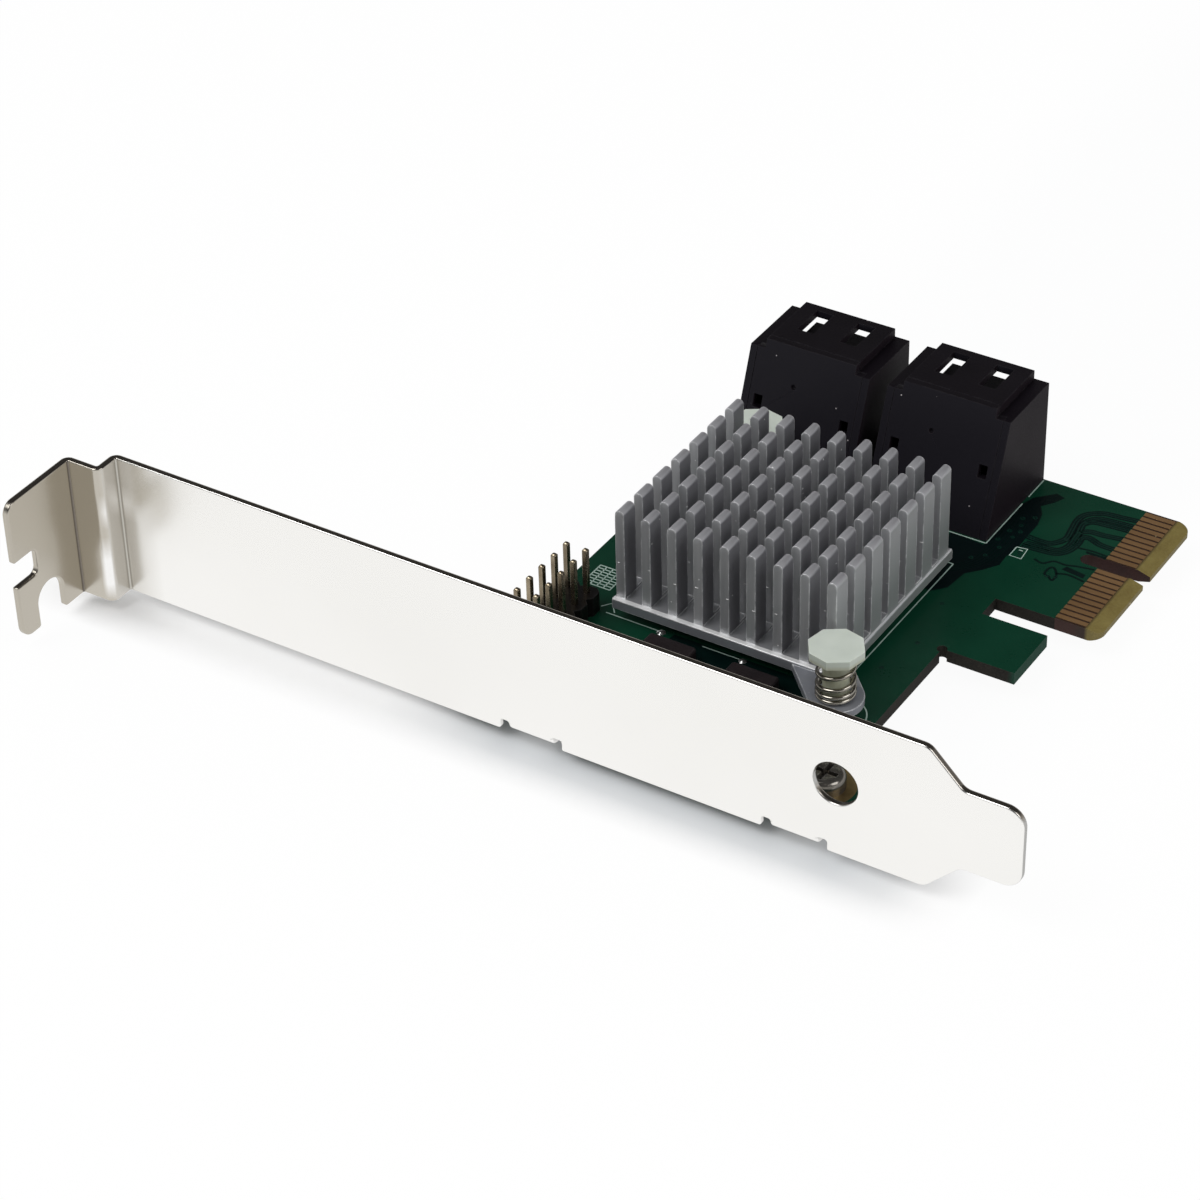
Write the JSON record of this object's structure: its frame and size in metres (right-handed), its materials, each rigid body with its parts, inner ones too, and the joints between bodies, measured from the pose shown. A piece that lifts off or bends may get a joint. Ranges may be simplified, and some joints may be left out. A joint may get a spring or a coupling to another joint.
{
  "type": "raid controller card",
  "caption": "Expansion card with a bare green board, finned heatsink held by sprung push pins, stacked data ports, pin header and a full-height slot bracket.",
  "frame": {"origin": "middle of the key slot at the leading edge of the edge connector's tongue, half way through the board", "axes": "+X is the way the tongue goes into its slot, +Y points away from the bracket, +Z is the component side"},
  "size_m": [0.12, 0.084, 0.02],
  "materials": {
    "green_board": "gloss solder mask over glass laminate",
    "gold_contacts": "gold plated",
    "plated_steel": "bright nickel plated sheet",
    "screw_steel": "nickel plated",
    "chip_resin": "matt moulded resin",
    "thermal_pad": "soft pad",
    "raw_aluminium": "extruded and sawn, light grey",
    "white_nylon": "satin natural nylon",
    "spring_wire": "bright drawn wire",
    "black_plastic": "satin moulded",
    "header_plastic": "satin moulded",
    "ferrite": "matt sintered",
    "tinned_metal": "tin plated",
    "crystal_can": "drawn metal lid",
    "capacitor_ceramic": "fired ceramic"
  },
  "bodies": {
    "root": {"circuit_board": "green_board", "edge_contacts_front": "gold_contacts", "edge_contacts_back": "gold_contacts", "bracket": "plated_steel", "bracket_screws": "screw_steel", "controller_chip": "chip_resin", "thermal_pad": "thermal_pad", "heatsink": "raw_aluminium", "push_pin_front": "white_nylon", "push_pin_rear": "white_nylon", "push_pin_spring_front": "spring_wire", "push_pin_spring_rear": "spring_wire", "sata_housing_left": "black_plastic", "sata_housing_right": "black_plastic", "sata_rear_cover_left": "black_plastic", "sata_rear_cover_right": "black_plastic", "sata_contacts_left": "gold_contacts", "sata_contacts_right": "gold_contacts", "header_base": "header_plastic", "header_pins": "gold_contacts", "power_inductors": "ferrite", "inductor_terminals": "tinned_metal", "flash_chip": "chip_resin", "flash_chip_leads": "tinned_metal", "crystal": "crystal_can", "ceramic_capacitors": "capacitor_ceramic", "capacitor_ends": "tinned_metal"}
  },
  "joints": []
}
